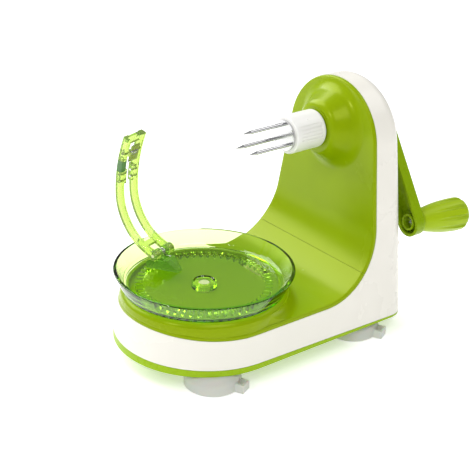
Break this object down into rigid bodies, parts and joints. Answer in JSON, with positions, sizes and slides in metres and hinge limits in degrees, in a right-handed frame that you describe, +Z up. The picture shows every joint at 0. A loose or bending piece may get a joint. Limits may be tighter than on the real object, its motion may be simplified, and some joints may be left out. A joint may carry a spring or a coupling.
{
  "type": "hand-cranked fruit peeler",
  "caption": "Hand-cranked fruit peeler: a crank spins a pronged fork and, through gears in the tower, carries a sprung peeling arm slowly round on a clear bowl; suction feet.",
  "frame": {"origin": "on the table under the middle of the peeler's box", "axes": "+X from the bowl to the tower and the crank, +Y to the far side, +Z up"},
  "size_m": [0.2532, 0.1328, 0.171],
  "materials": {
    "green_plastic": "satin moulded",
    "bright_green_plastic": "gloss moulded",
    "white_plastic": "gloss moulded",
    "soft_plastic": "cloudy and soft",
    "steel": "bright",
    "acetal": "satin",
    "clear_green": "clear tinted",
    "clear_lime": "clear tinted",
    "insert_green": "gloss"
  },
  "bodies": {
    "case": {"white_shell": "white_plastic", "base_cover": "green_plastic", "tower_cover": "green_plastic", "bottom_plate": "bright_green_plastic", "suction_foot_front_near": "soft_plastic", "suction_foot_front_far": "soft_plastic", "suction_foot_rear_near": "soft_plastic", "suction_foot_rear_far": "soft_plastic", "base_screws": "steel", "rear_screws": "steel", "gear_plate_screws": "steel", "gear_plate": "steel", "upper_gear_axle": "steel", "lower_gear_axle": "steel", "idler_axle": "steel", "front_bush": "acetal", "rear_bush": "acetal", "lower_front_bush": "acetal", "lower_rear_bush": "acetal", "bowl_pivot": "acetal", "pivot_nut": "steel"},
    "crank": {"spindle_shaft": "steel", "shaft_clip": "steel", "fork_hub": "white_plastic", "fruit_fork": "steel", "spindle_pinion": "acetal", "crank_arm": "green_plastic", "crank_screw": "steel", "knob_axle": "steel"},
    "knob": {"crank_knob": "bright_green_plastic"},
    "upper_gear": {"upper_compound_gear": "acetal"},
    "lower_gear": {"lower_compound_gear": "acetal"},
    "idler": {"idler_gear": "acetal"},
    "lower_shaft": {"lower_shaft": "steel", "lower_wheel": "acetal", "crown_pinion": "acetal"},
    "bowl": {"bowl": "clear_green", "arm_bracket": "clear_green", "hinge_pin": "steel", "arm_spring": "steel"},
    "arm": {"peeler_arm": "clear_lime", "blade_head": "clear_lime", "leg_insert": "insert_green", "head_pins": "steel", "blade_pin": "steel"},
    "blade": {"blade": "steel"}
  },
  "joints": [
    {"name": "crank_turn", "type": "hinge", "parent": "case", "child": "crank", "pos_m": [0.0681, -0.0017, 0.13847], "axis": [1, 0, 0], "range_deg": [-3420, 3060]},
    {"name": "knob_spin", "type": "hinge", "parent": "crank", "child": "knob", "pos_m": [0.0831, -0.04758, 0.07172], "axis": [0.9942, -0.0612, -0.089], "continuous": true},
    {"name": "upper_gear_turn", "type": "hinge", "parent": "case", "child": "upper_gear", "pos_m": [0.0531, -0.0017, 0.10848], "axis": [1, 0, 0], "range_deg": [-1080, 1200]},
    {"name": "lower_gear_turn", "type": "hinge", "parent": "case", "child": "lower_gear", "pos_m": [0.0571, -0.0017, 0.07848], "axis": [1, 0, 0], "range_deg": [-400, 400]},
    {"name": "idler_turn", "type": "hinge", "parent": "case", "child": "idler", "pos_m": [0.0591, -0.0017, 0.05785], "axis": [1, 0, 0], "range_deg": [-230, 230]},
    {"name": "lower_shaft_turn", "type": "hinge", "parent": "case", "child": "lower_shaft", "pos_m": [0.0191, -0.0017, 0.0316], "axis": [1, 0, 0], "range_deg": [-230, 230]},
    {"name": "bowl_turn", "type": "hinge", "parent": "case", "child": "bowl", "pos_m": [-0.0659, -0.0017, 0.04988], "axis": [0, 0, 1], "range_deg": [-75, 75]},
    {"name": "arm_swing", "type": "hinge", "parent": "bowl", "child": "arm", "pos_m": [-0.07612, 0.03282, 0.05998], "axis": [-0.9588, -0.284, 0], "range_deg": [-14, 20], "stiffness_Nm_per_rad": 0.08, "deforming": ["arm_spring"]},
    {"name": "blade_swivel", "type": "hinge", "parent": "arm", "child": "blade", "pos_m": [-0.08357, 0.05794, 0.12663], "axis": [-0.9588, -0.284, 0], "range_deg": [-12, 12]}
  ],
  "couplings": [
    {"joint": "upper_gear_turn", "follows": "crank_turn", "ratio": -0.33333},
    {"joint": "lower_gear_turn", "follows": "crank_turn", "ratio": 0.11111},
    {"joint": "idler_turn", "follows": "crank_turn", "ratio": -0.063492},
    {"joint": "lower_shaft_turn", "follows": "crank_turn", "ratio": 0.063492},
    {"joint": "bowl_turn", "follows": "crank_turn", "ratio": -0.021164}
  ]
}
